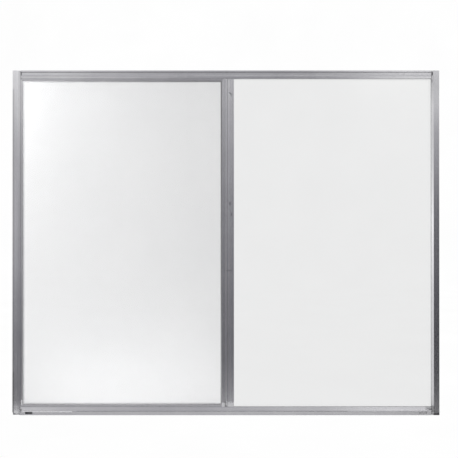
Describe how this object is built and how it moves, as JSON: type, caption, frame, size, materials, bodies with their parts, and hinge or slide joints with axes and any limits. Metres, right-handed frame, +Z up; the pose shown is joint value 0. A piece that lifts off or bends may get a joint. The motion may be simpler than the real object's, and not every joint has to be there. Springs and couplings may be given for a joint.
{
  "type": "aluminium horizontal sliding window with insect screen",
  "caption": "Mill-finish aluminium sliding window: fixed pane on the right, slim sliding sash on the left behind a mitred insect screen.",
  "frame": {"origin": "middle of the sill's flat underside", "axes": "+X along the sill to the right seen from outside, +Y from outside to the room, +Z up"},
  "size_m": [1.195, 0.051, 0.965],
  "materials": {
    "frame_metal": "mill finish, fine lengthwise die lines",
    "screen_metal": "rolled, satin",
    "glass": "clear float",
    "vinyl": "flexible vinyl",
    "mesh": "woven wire",
    "screw_steel": "plated",
    "nylon": "moulded",
    "pile": "woven pile"
  },
  "bodies": {
    "root": {"left_jamb": "frame_metal", "right_jamb": "frame_metal", "head": "frame_metal", "sill": "frame_metal", "meeting_stile": "frame_metal", "left_corner_screws": "screw_steel", "right_corner_screws": "screw_steel", "fixed_gasket": "vinyl", "fixed_glass": "glass", "screen_left_stile": "screen_metal", "screen_right_stile": "screen_metal", "screen_top_rail": "screen_metal", "screen_bottom_rail": "screen_metal", "screen_spline": "vinyl", "insect_mesh": "mesh", "screen_springs": "screw_steel", "sash_pull_stile": "frame_metal", "sash_interlock_stile": "frame_metal", "sash_top_rail": "frame_metal", "sash_bottom_rail": "frame_metal", "sash_gasket": "vinyl", "sash_glass": "glass", "sash_glides": "nylon", "sash_pile": "pile", "sash_latch": "nylon"}
  },
  "joints": []
}
